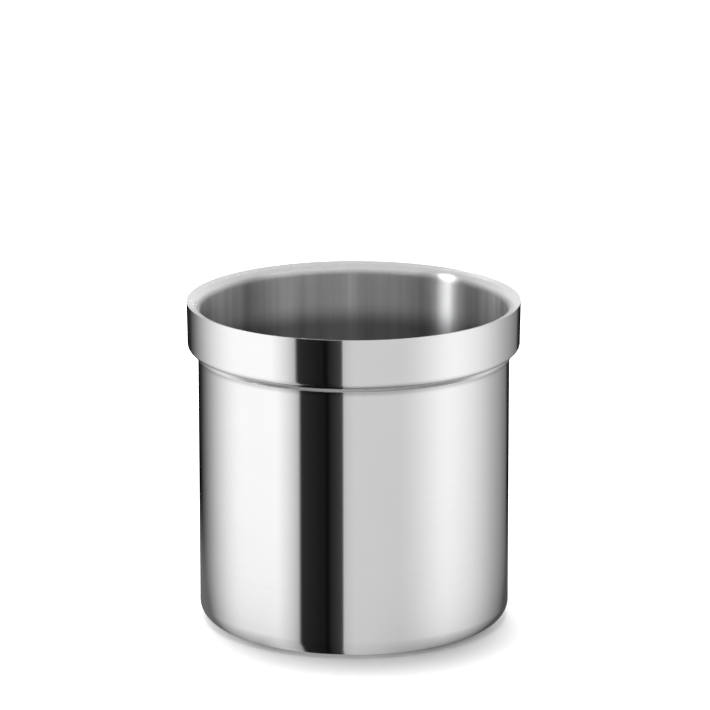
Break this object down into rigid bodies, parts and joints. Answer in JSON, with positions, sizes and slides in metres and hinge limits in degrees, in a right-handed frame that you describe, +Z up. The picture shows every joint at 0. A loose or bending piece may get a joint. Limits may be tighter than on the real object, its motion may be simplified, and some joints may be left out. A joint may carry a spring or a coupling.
{
  "type": "utensil crock",
  "caption": "Round straight-sided steel crock with a deep outward collar band, a flared rim and a rounded base, open at the top to hold kitchen tools.",
  "frame": {"origin": "middle of the standing ring under the base, on the surface that the crock stands on", "axes": "+Z up along the crock's axis, from the base to the rim; the shape is the same all round, and +Y points away from the picture's viewer"},
  "size_m": [0.19, 0.19, 0.1859],
  "materials": {
    "polished_steel": "bright polished stainless steel with very fine polishing lines running round the crock, and a softer satin inside"
  },
  "bodies": {
    "root": {"vessel": "polished_steel", "collar_band": "polished_steel"}
  },
  "joints": []
}
